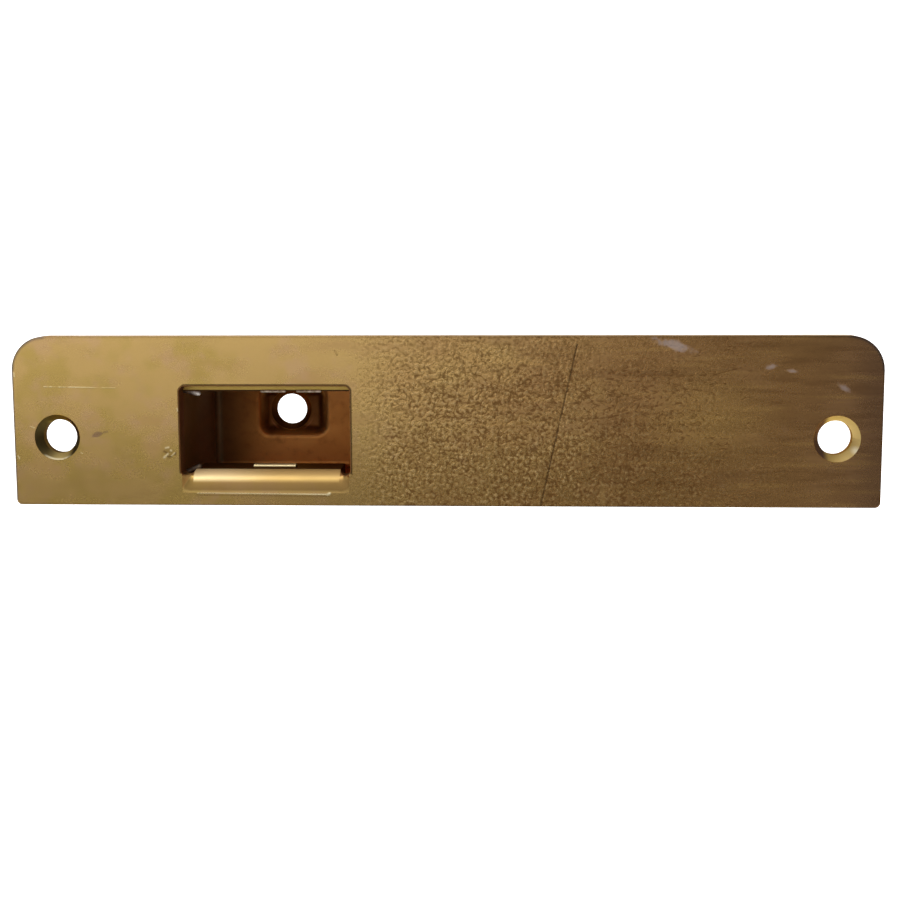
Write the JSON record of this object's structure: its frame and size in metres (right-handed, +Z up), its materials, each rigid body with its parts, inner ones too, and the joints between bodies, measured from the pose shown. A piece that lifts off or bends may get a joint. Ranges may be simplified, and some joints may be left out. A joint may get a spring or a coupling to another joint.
{
  "type": "flush bolt strike",
  "caption": "Long strike plate with countersunk screw holes, a rolled lip along its opening, and a folded box behind it that takes a door's flush bolt.",
  "frame": {"origin": "midway between the two screw holes, on the plate's rear face", "axes": "+X along the plate away from the opening's end, +Z up across its width towards the two large corners, -Y out of its front face"},
  "size_m": [0.127, 0.0327, 0.025],
  "materials": {
    "plate": "aged satin brass with fine scratches",
    "box": "dull brown brass sheet",
    "weld": "dull grey weld metal"
  },
  "bodies": {
    "root": {"strike_plate": "plate", "bolt_box": "box", "weld_beads": "weld"}
  },
  "joints": []
}
